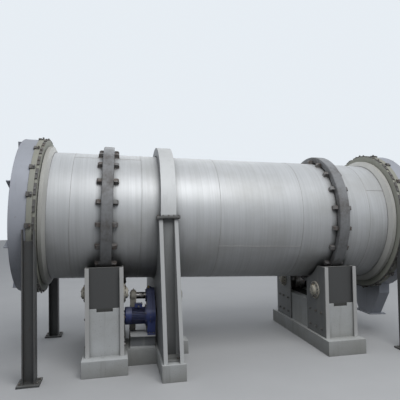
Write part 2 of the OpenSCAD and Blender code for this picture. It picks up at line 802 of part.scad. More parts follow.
// Parallel shaft reducer: the pinion shaft passes through its upper hollow shaft
module gear_reducer() {
    foot_front_y = base_front_y + reducer_lip;
    foot_back_y = base_back_y - reducer_lip;
    color("midnightblue") drum_frame() across(reducer_s) difference() {
        union() {
            linear_extrude(reducer_w) {
                reducer_outline(0);
                translate([foot_front_y, -drive_floor])
                    square([foot_back_y - foot_front_y, drive_foot_t]);
                translate([foot_front_y + base_out, -drive_floor])
                    square([foot_back_y - foot_front_y - base_out, drive_floor - motor_drop]);
            }
            translate([0, 0, (reducer_w - reducer_seam_w) / 2]) linear_extrude(reducer_seam_w)
                reducer_outline(reducer_lip);
            translate([pinion_y, pinion_z, -reducer_lip])
                cylinder(r = reducer_cover_r, h = reducer_w);
        }
        translate([pinion_y, pinion_z, -reducer_lip - 1])
            cylinder(r = pinion_shaft_r + shaft_gap, h = reducer_w + reducer_lip + 2);
    }
}

// Finned body between two end rings, with its flange on the reducer
module motor() {
    fin_t = 3;
    ring_w = 12;
    color("midnightblue") drum_frame() translate([0, -motor_y, -motor_drop]) {
        across(motor_s) linear_extrude(motor_len) {
            circle(r = motor_r);
            for (i = [0:fin_count - 1]) rotate([0, 0, (i + 0.5) * 360 / fin_count])
                translate([0, -fin_t / 2]) square([motor_r + fin_h, fin_t]);
        }
        across(motor_front_s - ring_w) cylinder(r = cowl_r, h = ring_w);
        across(motor_s) cylinder(r = cowl_r, h = ring_w);
        across(motor_front_s) cylinder(r = reducer_in_r, h = motor_flange_t);
    }
}

// Sheet cowl over the fan, with its inlet hole
module motor_cowl() {
    sheet_t = 3;
    edge_r = 10;
    inlet_hole_r = motor_r / 2;
    color("midnightblue") drum_frame() translate([0, -motor_y, -motor_drop])
        across(cowl_s) rotate_extrude() polygon([
            [inlet_hole_r, 0], [cowl_r - edge_r, 0], [cowl_r, edge_r], [cowl_r, cowl_len],
            [cowl_r - sheet_t, cowl_len], [cowl_r - sheet_t, edge_r + sheet_t / 2],
            [cowl_r - edge_r - sheet_t / 2, sheet_t], [inlet_hole_r, sheet_t]
        ]);
}

// Box for the motor's wires, on top of the finned body
module motor_terminal_box() {
    lid_out = 3;
    color("midnightblue") drum_frame()
        translate([motor_s + motor_len / 2, -motor_y, -motor_drop + motor_r + fin_h])
            translate([-box_len / 2, -box_w / 2, 0]) {
                cube([box_len, box_w, box_h]);
                translate([-lid_out, -lid_out, box_h])
                    cube([box_len + 2 * lid_out, box_w + 2 * lid_out, box_lid_t]);
            }
}

// Steel frame under the motor and the reducer: channels all round, closed by a top plate
module drive_base() {
    base_len = base_right_s - base_left_s;
    base_depth = base_back_y - base_front_y;
    groove_h = drive_base_h - 2 * base_flange_t;
    channel_web = base_channel / 5;
    inset = base_channel + channel_web;
    color("steelblue") drum_frame() translate([base_left_s, base_front_y, drive_ground_z])
        difference() {
            cube([base_len, base_depth, drive_base_h]);
            translate([-1, -1, base_flange_t]) cube([base_len + 2, base_channel + 1, groove_h]);
            translate([-1, base_depth - base_channel, base_flange_t])
                cube([base_len + 2, base_channel + 1, groove_h]);
            translate([channel_web, inset, -1])
                cube([base_len - 2 * channel_web, base_depth - 2 * inset,
                      drive_base_h - base_flange_t + 1]);
        }
}

// Concrete under the drive, with the strip that carries the guard
module drive_plinth() {
    left_x = station_x(-1) + stand_w / 2 + footing_step;
    right_s = inner_bearing_s + pinion_bearing_w / 2 + base_out;
    front_y = base_front_y - base_out;
    back_y = pinion_y + pinion_bearing_r + base_out;
    half_w = guard_w / 2;
    strip_half = half_w + guard_foot_out;
    strip_y = guard_r + guard_flare + guard_foot_out;
    color("gainsboro") {
        intersection() {
            union() {
                translate([left_x, front_y, 0])
                    cube([guard_x - half_w - left_x, back_y - front_y, axis_h]);
                translate([guard_x + half_w, 2 * pinion_y - back_y, 0])
                    cube([right_s - guard_x - half_w, 2 * (back_y - pinion_y), axis_h]);
            }
            below_line(drive_ground_z);
        }
        translate([guard_x - strip_half, -strip_y, 0])
            cube([2 * strip_half, 2 * strip_y, guard_foot_h]);
    }
}

// Hoods

// Cup with a ribbed end plate and a hole for the end pipe
module hood(side, pipe_r) {
    at_end(side) {
        across(-hood_back_s) rotate_extrude() polygon([
            [pipe_r, 0], [hood_r, 0], [hood_r, hood_len - housing_len],
            [hood_r - hood_t, hood_len - housing_len], [hood_r - hood_t, hood_t], [pipe_r, hood_t]
        ]);
        across(-hood_back_s - rib_h) for (i = [0:rib_count - 1])
            rotate([0, 0, (i + 0.5) * 360 / rib_count])
                translate([port_flange_r, -rib_t / 2, 0])
                    cube([hood_r - hood_t - port_flange_r, rib_t, rib_h]);
    }
}

module feed_hood() { color("lightsteelblue") hood(-1, inlet_r); }

module discharge_hood() {
    color("lightsteelblue") difference() {
        hood(1, burner_r);
        at_end(1) translate([chute_s + chute_t, -chute_top_w / 2 + chute_t, -2 * hood_r])
            cube([chute_len - 2 * chute_t, chute_top_w - 2 * chute_t, 1.5 * hood_r]);
    }
}

// Ring channel that carries the seal, bolted to the hood, stepped down in front for the leaves
module seal_housing(side) {
    step_at = housing_len - leaf_len;
    in_r = housing_r - leaf_t - hood_t;
    at_end(side) across(-housing_back_s) rotate_extrude() polygon([
        [hood_r - hood_t, 0], [housing_r, 0], [housing_r, step_at],
        [housing_r - leaf_t, step_at], [housing_r - leaf_t, housing_len],
        [lip_r, housing_len], [lip_r, housing_len - hood_t], [in_r, housing_len - hood_t],
        [in_r, hood_t], [hood_r - hood_t, hood_t]
    ]);
}

module feed_seal_housing() { color("tan") seal_housing(-1); }
module discharge_seal_housing() { color("tan") seal_housing(1); }

// Whether a clamp at this angle round the housing would meet a post
function clamp_at_post(angle) =
    housing_r * sin(angle) < clamp_w / 2 - post_drop
    && housing_r * abs(cos(angle)) > post_in_y - clamp_w;

// Clamps over the housing, left out where a post stands, and the spring leaves in its step
module seal_clamps(side) {
    clamp_angle = clamp_w / housing_r * 180 / PI;
    clamp_back = -flange_t;
    clamp_front = housing_len - leaf_len - hood_t;
    block_len = clamp_front / 3;
    top_r = housing_r + clamp_t;
    waist_r = housing_r + clamp_t / 2;
    leaf_angle = 360 / leaf_count - leaf_gap / housing_r * 180 / PI;
    at_end(side) across(-housing_back_s) {
        for (i = [0:clamp_count - 1])
            let (angle = clamp_turn + i * 360 / clamp_count)
            if (!clamp_at_post(angle))
                rotate([0, 0, angle - clamp_angle / 2])
                    rotate_extrude(angle = clamp_angle) polygon([
                        [hood_r, clamp_back], [top_r, clamp_back], [top_r, block_len],
                        [waist_r, block_len + hood_t / 2], [waist_r, clamp_front - block_len],
                        [top_r, clamp_front - block_len / 2], [top_r, clamp_front],
                        [housing_r, clamp_front], [housing_r, 0], [hood_r, 0]
                    ]);
        for (i = [0:leaf_count - 1])
            rotate([0, 0, i * 360 / leaf_count + (360 / leaf_count - leaf_angle) / 2])
                rotate_extrude(angle = leaf_angle)
                    translate([housing_r - leaf_t, housing_len - leaf_len])
                        square([leaf_t, leaf_len]);
    }
}

module feed_seal_clamps() { color("gray") seal_clamps(-1); }
module discharge_seal_clamps() { color("gray") seal_clamps(1); }

// End pipe with a drilled flange
module end_pipe(side, pipe_r) {
    at_end(side) across(-hood_back_s - port_len) difference() {
        union() {
            cylinder(r = pipe_r, h = port_len + hood_t);
            cylinder(r = port_flange_r, h = flange_plate_t);
        }
        translate([0, 0, -1]) cylinder(r = pipe_r - port_t, h = port_len + hood_t + 2);
        for (i = [0:port_bolts - 1]) rotate([0, 0, (i + 0.5) * 360 / port_bolts])
            translate([pipe_r + port_bolt_out, 0, -1]) cylinder(r = bolt_r, h = flange_plate_t + 2);
    }
}

module feed_inlet() { color("lightsteelblue") end_pipe(-1, inlet_r); }
module burner_port() { color("lightsteelblue") end_pipe(1, burner_r); }

// Outline of the discharge chute across the drum, drawn in by a wall
module chute_outline(wall) {
    top_y = chute_top_w / 2 - wall;
    foot_y = chute_w / 2 - wall;
    neck_z = -hood_r - chute_neck;
    polygon([[-foot_y, -chute_drop], [foot_y, -chute_drop], [top_y, neck_z], [top_y, 0],
             [-top_y, 0], [-top_y, neck_z]]);
}

// Tapering chute under the discharge hood, with a drilled outlet flange
module discharge_chute() {
    flange_y = chute_w / 2 + chute_flange_w;
    color("lightsteelblue") at_end(1) difference() {
        union() {
            across(chute_s) linear_extrude(chute_len) difference() {
                chute_outline(0);
                circle(r = hood_r);
            }
            translate([chute_s - chute_flange_w, -flange_y, -chute_drop])
                cube([chute_len + 2 * chute_flange_w, 2 * flange_y, flange_plate_t]);
        }
        across(chute_s + chute_t) linear_extrude(chute_len - 2 * chute_t) chute_outline(chute_t);
        translate([chute_s + chute_t, -chute_w / 2 + chute_t, -chute_drop - 1])
            cube([chute_len - 2 * chute_t, chute_w - 2 * chute_t, flange_plate_t]);
        for (x = [-1, 1], y = [-1, 0, 1])
            translate([chute_s + chute_len / 2 + x * (chute_len + chute_flange_w) / 2,
                       y * (chute_w + chute_flange_w) / 2, -chute_drop - 1])
                cylinder(r = bolt_r, h = flange_plate_t + 2);
    }
}

// I-section posts at both sides of a hood, cut to the seal housing
module hood_posts(side) {
    mid_x = side * (seal_s + post_w / 2) * cos(kiln_slope);
    top = axis_h - side * seal_s * sin(kiln_slope) - post_drop;
    difference() {
        for (hand = [0, 1]) mirror([0, hand, 0]) translate([mid_x, post_in_y + post_depth / 2, 0]) {
            for (x = [-post_w / 2, post_w / 2 - post_flange_t])
                translate([x, -post_depth / 2, 0]) cube([post_flange_t, post_depth, top]);
            translate([-post_w / 2, -post_web_t / 2, 0]) cube([post_w, post_web_t, top]);
            translate([-foot_w / 2, -foot_w / 2, 0]) cube([foot_w, foot_w, foot_t]);
        }
        drum_bore(0, 0, housing_r);
    }
}

module feed_hood_posts() { color("silver") hood_posts(-1); }
module discharge_hood_posts() { color("silver") hood_posts(1); }

drum_shell();
drum_lining();
feed_seal_ring();
discharge_seal_ring();
feed_tyre();
discharge_tyre();
feed_tyre_pads();
discharge_tyre_pads();
girth_gear();
gear_seat();
feed_roller_front();
feed_roller_back();
discharge_roller_front();
discharge_roller_back();
feed_stand_front();
feed_stand_back();
discharge_stand_front();
discharge_stand_back();
feed_roller_bearings();
discharge_roller_bearings();
feed_pier();
discharge_pier();
guard_cover();
guard_casing();
pinion();
pinion_bearing_outer();
pinion_bearing_inner();
gear_reducer();
motor();
motor_cowl();
motor_terminal_box();
drive_base();
drive_plinth();
feed_hood();
feed_seal_housing();
feed_seal_clamps();
feed_inlet();
feed_hood_posts();
discharge_hood();
discharge_seal_housing();
discharge_seal_clamps();
burner_port();
discharge_chute();
discharge_hood_posts();
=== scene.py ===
"""Looks of a short rotary kiln: steel drum, tyres, roller stands, gear guard, drive and hoods."""

import json
import math
import random

import bmesh
import bpy
from mathutils import Matrix, Vector


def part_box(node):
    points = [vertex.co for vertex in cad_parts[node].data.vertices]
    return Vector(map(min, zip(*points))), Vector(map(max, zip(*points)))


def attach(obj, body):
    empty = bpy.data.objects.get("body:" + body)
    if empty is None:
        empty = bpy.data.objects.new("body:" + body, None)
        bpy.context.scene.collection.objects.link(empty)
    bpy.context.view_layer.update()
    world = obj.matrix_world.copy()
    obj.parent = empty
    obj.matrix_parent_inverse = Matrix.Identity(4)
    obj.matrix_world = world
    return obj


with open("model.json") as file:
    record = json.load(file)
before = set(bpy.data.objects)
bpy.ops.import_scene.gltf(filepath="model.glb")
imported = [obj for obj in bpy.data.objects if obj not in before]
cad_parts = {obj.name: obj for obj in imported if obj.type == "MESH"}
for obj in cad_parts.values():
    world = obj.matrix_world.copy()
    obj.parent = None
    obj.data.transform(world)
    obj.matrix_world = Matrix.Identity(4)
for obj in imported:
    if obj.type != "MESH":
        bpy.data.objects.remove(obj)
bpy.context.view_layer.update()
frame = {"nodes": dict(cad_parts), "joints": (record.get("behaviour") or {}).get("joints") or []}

# Camera
# The view was fitted to the drum's edges and rings: a person's eye height, in front of the feed
# tyre, looking slightly up and to the discharge end, with the camera held a little off level.
eye_height = 1.75
eye_distance = 5.653
eye_x = -1.357
view_pan = math.radians(11.467)
view_tilt = math.radians(1.991)
view_roll = math.radians(-0.986)
view_focal_px = 419.1
view_frame_px = 400
sensor_mm = 36.0

camera_data = bpy.data.cameras.new("camera")
camera_data.sensor_fit = "HORIZONTAL"
camera_data.sensor_width = sensor_mm
camera_data.lens = sensor_mm * view_focal_px / view_frame_px
camera_data.clip_end = 100
camera = bpy.data.objects.new("camera", camera_data)
bpy.context.scene.collection.objects.link(camera)
forward = Vector((
    math.sin(view_pan) * math.cos(view_tilt),
    math.cos(view_pan) * math.cos(view_tilt),
    math.sin(view_tilt),
))
level_right = Vector((math.cos(view_pan), -math.sin(view_pan), 0))
level_up = level_right.cross(forward)
view_right = level_right * math.cos(view_roll) + level_up * math.sin(view_roll)
view_up = level_up * math.cos(view_roll) - level_right * math.sin(view_roll)
camera.matrix_world = Matrix((
    (view_right.x, view_up.x, -forward.x, eye_x),
    (view_right.y, view_up.y, -forward.y, -eye_distance),
    (view_right.z, view_up.z, -forward.z, eye_height),
    (0, 0, 0, 1),
))
bpy.context.scene.camera = camera

# Floor and light
# A plain pale floor under an overcast sky, which is brighter overhead. One broad soft lamp hangs
# high in front of the drum, a faint one to its right and one behind it, so that the satin steel
# has its wide highlight on the upper third.
bpy.context.scene.view_settings.view_transform = "Standard"
floor_size = 60


def deselect():
    bpy.ops.object.select_all(action="DESELECT")


deselect()
bpy.ops.mesh.primitive_plane_add(size=floor_size, location=(0, 0, 0))
floor = bpy.context.object
floor.name = "floor"


class Value:
    """One number, colour or direction in a node tree. Arithmetic on it adds Math nodes."""

    def __init__(self, maker, socket):
        self.maker = maker
        self.socket = socket

    def math(self, operation, *others):
        return self.maker.node("ShaderNodeMath", {"operation": operation}, [self, *others])

    def __add__(self, other):
        return self.math("ADD", other)

    def __sub__(self, other):
        return self.math("SUBTRACT", other)

    def __rsub__(self, other):
        return self.maker.node("ShaderNodeMath", {"operation": "SUBTRACT"}, [other, self])

    def __mul__(self, other):
        return self.math("MULTIPLY", other)

    def __abs__(self):
        return self.math("ABSOLUTE")

    __radd__ = __add__
    __rmul__ = __mul__

    def lesser(self, other):
        return self.math("MINIMUM", other)

    def greater(self, other):
        return self.math("MAXIMUM", other)

    def rise(self, low, high):
        """0 below low, 1 above high, and smooth between."""
        settings = {"interpolation_type": "SMOOTHSTEP"}
        inputs = {"Value": self, "From Min": low, "From Max": high}
        return self.maker.node("ShaderNodeMapRange", settings, inputs)

    def part(self, letter):
        """The X, Y or Z of a direction or place."""
        return self.maker.node("ShaderNodeSeparateXYZ", {}, [self], "XYZ".index(letter))


class Nodes:
    """A node tree, in which every new node comes from node()."""

    def __init__(self, tree):
        self.tree = tree

    def node(self, kind, settings, inputs=(), output=0):
        """A new node's output, after its settings and the values or links of its sockets."""
        node = self.tree.nodes.new(kind)
        for name, value in settings.items():
            setattr(node, name, value)
        pairs = inputs.items() if isinstance(inputs, dict) else enumerate(inputs)
        for key, value in pairs:
            self.feed(node.inputs[key], value)
        return Value(self, node.outputs[output])

    def feed(self, socket, value):
        if isinstance(value, Value):
            self.tree.links.new(value.socket, socket)
        else:
            socket.default_value = value

    def seen(self):
        """1 to the camera, gloss and glass, 0 to the light that falls on the kiln."""
        camera_ray, glossy_ray, glass_ray = [
            self.node("ShaderNodeLightPath", {}, (), "Is %s Ray" % kind)
            for kind in ("Camera", "Glossy", "Transmission")
        ]
        return camera_ray.greater(glossy_ray).greater(glass_ray)


class Finish(Nodes):
    """The nodes of one material. set() feeds its shader, and over() lays on another colour."""

    def __init__(self, name, shade, metallic=0.0, roughness=0.5):
        self.material = bpy.data.materials.new(name)
        self.material.use_nodes = True
        super().__init__(self.material.node_tree)
        self.shader = self.tree.nodes["Principled BSDF"]
        self.base = (*shade, 1.0)
        self.set("Base Color", self.base)
        self.set("Metallic", metallic)
        self.set("Roughness", roughness)

    def set(self, name, value):
        self.feed(self.shader.inputs[name], value)

    def over(self, share, shade):
        """Lays a colour over what the surface shows so far, by share."""
        settings = {"data_type": "RGBA", "clamp_factor": True}
        inputs = {0: share, 6: self.base, 7: (*shade, 1.0)}
        self.base = self.node("ShaderNodeMix", settings, inputs, 2)
        self.set("Base Color", self.base)

    def place(self, scale=(1, 1, 1)):
        """Object coordinates, in metres, stretched by scale."""
        source = self.node("ShaderNodeTexCoord", {}, (), "Object")
        return self.node("ShaderNodeMapping", {}, {"Vector": source, "Scale": scale})

    def noise(self, scale, detail=3.0, rough=0.55, stretch=(1, 1, 1)):
        """Cloudy pattern from 0 to 1, with its features about 1 / scale metres across."""
        inputs = {
            "Vector": self.place(stretch),
            "Scale": scale,
            "Detail": detail,
            "Roughness": rough,
        }
        return self.node("ShaderNodeTexNoise", {}, inputs)

    def cells(self, scale):
        """Distance to the nearest point of a scattered set."""
        return self.node("ShaderNodeTexVoronoi", {}, {"Vector": self.place(), "Scale": scale})

    def facing(self):
        """Which way the surface faces."""
        return self.node("ShaderNodeNewGeometry", {}, (), "Normal")

    def edge(self, distance):
        """1 on sharp outer edges, 0 on flat faces."""
        bevelled = self.node("ShaderNodeBevel", {"samples": 4}, {"Radius": distance})
        sides = self.node("ShaderNodeVectorMath", {"operation": "DOT_PRODUCT"},
                          [bevelled, self.facing()], 1)
        return (1 - sides).rise(0.02, 0.25)

    def shade_in_recesses(self, distance):
        """Painted shade: 1 deep in corners and under other pieces, 0 on open faces."""
        openness = self.node("ShaderNodeAmbientOcclusion", {"samples": 6},
                             {"Distance": distance}, 1)
        return 1 - openness.rise(0.15, 0.85)

    def bump(self, height, strength, distance, edge_round=0.003):
        """Unevenness of the surface, with its sharp edges eased."""
        eased = self.node("ShaderNodeBevel", {"samples": 4}, {"Radius": edge_round})
        inputs = {"Strength": strength, "Distance": distance, "Height": height, "Normal": eased}
        self.set("Normal", self.node("ShaderNodeBump", {}, inputs))


floor_finish = Finish("floor_finish", (0.05, 0.05, 0.048), roughness=0.9)
floor_seen = floor_finish.seen()
floor_finish.over(floor_seen, (0.50, 0.505, 0.51))
floor_finish.over(floor_seen * floor_finish.noise(1.5, 4), (0.56, 0.565, 0.57))
floor.data.materials.append(floor_finish.material)

world = bpy.data.worlds.new("overcast_sky")
bpy.context.scene.world = world
world.use_nodes = True
sky = Nodes(world.node_tree)
sky_height = sky.node("ShaderNodeTexCoord", {}, (), "Generated").part("Z")
sky_strength = sky.node("ShaderNodeMapRange", {},
                        {"Value": sky_height, "From Max": 0.9, "To Min": 0.06, "To Max": 0.6})
sky_light = sky.tree.nodes["Background"]
sky.feed(sky_light.inputs["Color"], (0.90, 0.94, 1.0, 1.0))
sky.feed(sky_light.inputs["Strength"], sky_strength)
backdrop = sky.node("ShaderNodeBackground", {},
                    {"Color": (0.80, 0.85, 0.90, 1.0), "Strength": 1.0})
sky_and_backdrop = sky.node("ShaderNodeMixShader", {},
                            [sky.seen(), Value(sky, sky_light.outputs[0]), backdrop])
sky.feed(sky.tree.nodes["World Output"].inputs["Surface"], sky_and_backdrop)

kiln_heart = Vector((0, 0, 1.5))


def soft_lamp(name, place, size, power):
    """A square lamp aimed at the middle of the kiln."""
    data = bpy.data.lights.new(name, "AREA")
    data.shape = "SQUARE"
    data.size = size
    data.energy = power
    lamp = bpy.data.objects.new(name, data)
    lamp.location = place
    lamp.rotation_euler = (kiln_heart - Vector(place)).to_track_quat("-Z", "Y").to_euler()
    bpy.context.scene.collection.objects.link(lamp)


soft_lamp("key_lamp", (0.6, -5.2, 8.0), 5.0, 350)
soft_lamp("side_lamp", (6.5, -2.5, 7.0), 5.0, 10)
soft_lamp("back_lamp", (0.5, 6.5, 7.5), 6.0, 70)

# Piers and footings
# Each tyre stands over a cast concrete pier on a wider footing, and the drive on a plinth of the
# same concrete. It was poured in timber forms, and is stained by rain. A painted shadow lies dark
# in the notch at the top of each pier's face.
concrete = Finish("concrete", (0.66, 0.68, 0.69), roughness=0.9)
concrete_cloud = concrete.noise(1.8, 6, 0.6)
concrete_grain = concrete.noise(60, 5, 0.7)
concrete_streak = concrete.noise(11, 4, 0.6, (1, 1, 0.08))
concrete_pits = concrete.cells(34).rise(0.05, 0.16)
concrete_place = concrete.place()
concrete_low = 1 - concrete_place.part("Z").rise(0.02, 0.35)
concrete.over(concrete_cloud.rise(0.3, 0.7), (0.53, 0.54, 0.53))
concrete.over(concrete_streak.rise(0.52, 0.8) * 0.5, (0.30, 0.30, 0.28))
concrete.over(concrete_low * concrete_cloud * 0.5, (0.34, 0.33, 0.28))
concrete.over((1 - concrete_pits) * 0.5, (0.2, 0.2, 0.19))
# Painted shade darkens the concrete in corners and under other pieces.
concrete.over(concrete.shade_in_recesses(0.3) * 0.6, (0.1, 0.1, 0.09))

stand_face = -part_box("feed_stand_front")[0].y
pier_face = stand_face - 0.028
kerb_height = 0.036
notch_half_width = 0.09
shadow_edge = 0.002
behind_face = 1 - abs(concrete_place.part("Y")).rise(pier_face - 2 * shadow_edge,
                                                     pier_face - shadow_edge)
for end in ("feed", "discharge"):
    pier_low, pier_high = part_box(end + "_pier")
    notch_x = (pier_low.x + pier_high.x) / 2
    notch_floor = pier_high.z - kerb_height
    from_notch = abs(concrete_place.part("X") - notch_x)
    in_notch = 1 - from_notch.rise(notch_half_width + 0.5 * shadow_edge,
                                   notch_half_width + 1.5 * shadow_edge)
    over_floor = concrete_place.part("Z").rise(notch_floor - 1.5 * shadow_edge,
                                               notch_floor - 0.5 * shadow_edge)
    # Painted shadow in the notch behind the pier's face.
    concrete.over(behind_face * in_notch * over_floor * 0.92, (0.035, 0.034, 0.03))
concrete.bump(concrete_grain * 0.5 + concrete_pits * 0.5 + concrete_cloud * 0.4, 0.5, 0.004,
              0.010)


def coat(finish, *names):
    """Gives CAD nodes their finish."""
    for name in names:
        slots = frame["nodes"][name].data.materials
        slots.clear()
        slots.append(finish.material)


coat(concrete, "feed_pier", "discharge_pier", "drive_plinth")

# Roller stands
# Each stand is two cheek plates with edge flanges and a recessed web, welded up, painted grey and
# held to the pier by bolts through both cheeks.
rust_brown = (0.14, 0.07, 0.035)
dust_grey = (0.34, 0.335, 0.31)


def weathered_paint(name, paint, dust, rust, gloss, rust_share, streak, recess_shade):
    """Old paint: rain streaks, dust on upward faces, worn edges, rusty spots, and painted shade
    in corners.
    """
    finish = Finish(name, paint, roughness=gloss)
    cloud = finish.noise(2.2, 5, 0.6)
    fine = finish.noise(38, 4, 0.6)
    rain = finish.noise(16, 4, 0.6, (1, 1, 0.06))
    worn = finish.edge(0.005) * finish.noise(24, 3).rise(0.44, 0.62)
    up = finish.facing().part("Z").rise(0.35, 0.95)
    corner_shade = finish.shade_in_recesses(0.22)
    spots = (finish.noise(7, 5, 0.65) + fine * 0.3).rise(0.92 - 0.25 * rust_share, 1.08)
    finish.over(cloud.rise(0.3, 0.75) * 0.55, [part * 0.82 for part in paint])
    finish.over(rain.rise(0.5, 0.78) * (0.45 * streak), dust)
    finish.over(up * 0.55, dust)
    # Painted shade: a darker copy of the paint in corners and under other pieces.
    finish.over(corner_shade * recess_shade, [part * 0.3 for part in paint])
    marks = spots.greater(worn)
    finish.over(marks * 0.8, rust)
    dulled = marks.greater(up * 0.6) * 0.35
    finish.set("Roughness", (gloss + dulled + fine * 0.08).lesser(0.95))
    finish.bump(fine * 0.4 + cloud * 0.6 - marks * 0.8, 0.25, 0.0015)
    return finish


stand_paint = weathered_paint("stand_paint", (0.22, 0.225, 0.225), dust_grey, rust_brown,
                              gloss=0.5, rust_share=0.6, streak=1.0, recess_shade=0.85)
stand_flange_t = 0.012
web_setback = 0.042
from_middle = abs(stand_paint.place().part("Y"))
flange_back = stand_face - stand_flange_t
# Painted highlight: the flanges' outer faces are lightened as if they caught the sky.
stand_paint.over(from_middle.rise(flange_back - 0.004, flange_back) * 0.85, (0.66, 0.66, 0.65))
# Painted shade: the web between the cheeks is darkened as if in deep shade.
web_depth = abs(from_middle - (stand_face - web_setback)).rise(0.001, 0.004)
web_shade = (1 - web_depth) * abs(stand_paint.facing().part("Y"))
stand_paint.over(web_shade * 0.8, (0.055, 0.055, 0.055))
coat(stand_paint, "feed_stand_front", "feed_stand_back", "discharge_stand_front",
     "discharge_stand_back")

bolt_steel = Finish("bolt_steel", (0.2, 0.2, 0.195), metallic=0.6, roughness=0.5)
bolt_steel.over(bolt_steel.noise(30, 4, 0.6).rise(0.4, 0.7), (0.11, 0.07, 0.045))
smooth_angle = math.radians(35)


def settle():
    """Applies the active object's place, turn and size to its mesh."""
    bpy.ops.object.transform_apply(location=True, rotation=True, scale=True)


def joined(name, pieces):
    """One object from several, named."""
    deselect()
    for piece in pieces:
        piece.select_set(True)
    bpy.context.view_layer.objects.active = pieces[0]
    if len(pieces) > 1:
        bpy.ops.object.join()
    whole = bpy.context.view_layer.objects.active
    whole.name = name
    return whole


def placed_copy(pattern, matrix):
    """A copy with its own mesh, moved by matrix."""
    twin = pattern.copy()
    twin.data = pattern.data.copy()
    twin.data.transform(matrix)
    bpy.context.scene.collection.objects.link(twin)
    return twin


def standing(point, direction, spin=0.0):
    """Matrix that stands +Z along direction at point."""
    turn = Vector(direction).to_track_quat("Z", "Y").to_matrix().to_4x4()
    return Matrix.Translation(Vector(point)) @ turn @ Matrix.Rotation(spin, 4, "Z")


def finished(piece, finish, body):
    """Gives a new piece its material, shading and body."""
    piece.data.materials.clear()
    piece.data.materials.append(finish.material)
    deselect()
    piece.select_set(True)
    bpy.context.view_layer.objects.active = piece
    bpy.ops.object.shade_smooth_by_angle(angle=smooth_angle)
    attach(piece, body)


def inset_ends(piece, size, both=False):
    """Chamfers the top of an upright piece by an inset, or its top and its bottom."""
    bpy.ops.object.mode_set(mode="EDIT")
    shape = bmesh.from_edit_mesh(piece.data)
    for face in shape.faces:
        face.select_set((abs(face.normal.z) if both else face.normal.z) > 0.9)
    bpy.ops.mesh.inset(thickness=size, depth=size, use_individual=True)
    bpy.ops.object.mode_set(mode="OBJECT")


def disc(radius, height, sides, bevel=0.0):
    """Round or many-sided plate standing on the XY plane, with its top edge bevelled."""
    deselect()
    bpy.ops.mesh.primitive_cylinder_add(vertices=sides, radius=radius, depth=height,
                                        location=(0, 0, height / 2))
    settle()
    plate = bpy.context.object
    if bevel:
        inset_ends(plate, bevel)
    return plate


def hex_bolt(size):
    """Hexagon head with a chamfered top, on a round washer, standing on the XY plane."""
    washer_t = size * 0.22
    washer = disc(size * 1.4, washer_t, 14)
    head = disc(size, size, 6, size * 0.14)
    head.data.transform(Matrix.Translation((0, 0, washer_t)))
    return joined("bolt", [head, washer])


def repeated(name, pattern, places, finish):
    """Copies of a pattern at (point, direction) pairs, joined into one fixed piece."""
    rng = random.Random(name)
    copies = [placed_copy(pattern, standing(point, direction, rng.uniform(0, math.pi / 3)))
              for point, direction in places]
    bpy.data.objects.remove(pattern)
    finished(joined(name, copies), finish, "root")


def bolts(name, size, places):
    repeated(name, hex_bolt(size), places, bolt_steel)


def weld_bead(start, end, radius):
    """Straight bead between two points, rounded off at its ends."""
    start, end = Vector(start), Vector(end)
    deselect()
    bpy.ops.mesh.primitive_cylinder_add(vertices=8, radius=radius, depth=(end - start).length)
    bead = bpy.context.object
    inset_ends(bead, radius * 0.4, both=True)
    bead.data.transform(standing((start + end) / 2, end - start))
    return bead


cheek_thickness = 0.014
cheek_bolt = 0.013
outer_row = 0.12
inner_row = 0.10
lower_row = 0.09
upper_row = 0.13
web_bead = 0.0035
cap_bead = 0.003
for end in ("feed", "discharge"):
    pier_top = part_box(end + "_pier")[1].z
    for hand, out in (("front", -1), ("back", 1)):
        stand = "%s_stand_%s" % (end, hand)
        low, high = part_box(stand)
        face_y, inner_y = (low.y, high.y) if hand == "front" else (high.y, low.y)
        rows = [face_y - out * outer_row, (face_y + inner_y) / 2, inner_y + out * inner_row]
        levels = [low.z + lower_row, pier_top - upper_row]
        bolts(stand + "_bolts", cheek_bolt,
              [((x, y, z), (side, 0, 0)) for x, side in ((low.x, -1), (high.x, 1))
               for y in rows for z in levels])
        web_y = face_y - out * web_setback
        web_sides = (low.x + cheek_thickness, high.x - cheek_thickness)
        seams = [weld_bead((x, web_y, pier_top), (x, web_y, high.z - 0.004), web_bead)
                 for x in web_sides]
        seams.append(weld_bead((web_sides[0], web_y, high.z - 0.001),
                               (web_sides[1], web_y, high.z - 0.001), cap_bead))
        finished(joined(stand + "_welds", seams), stand_paint, "root")

# Bearings and support rollers
# Flanged cast iron bearings carry the roller shafts on the outside of the cheek plates, with a
# ring of bolts, a cover over the shaft's end and a grease nipple each. The rollers are forged,
# and lie on the same slope as the drum.
bearing_iron = weathered_paint("bearing_iron", (0.68, 0.65, 0.56), (0.42, 0.38, 0.31),
                               rust_brown, gloss=0.55, rust_share=0.7, streak=0.6, recess_shade=0.6)
coat(bearing_iron, "feed_roller_bearings", "discharge_roller_bearings", "pinion_bearing_outer",
     "pinion_bearing_inner")
brass = Finish("brass", (0.45, 0.34, 0.14), metallic=0.9, roughness=0.4)
brass.over(brass.noise(60), (0.2, 0.15, 0.08))


def joint_line(name):
    """A point on a joint's axis, and its direction."""
    joint = next(joint for joint in frame["joints"] if joint["name"] == name)
    return Vector(joint["pos_m"]), Vector(joint["axis"]).normalized()


def grease_nipple():
    """Small hexagon fitting with a thin neck."""
    base = disc(0.0075, 0.008, 6)
    neck = disc(0.0045, 0.016, 12, 0.0015)
    return joined("nipple", [base, neck])


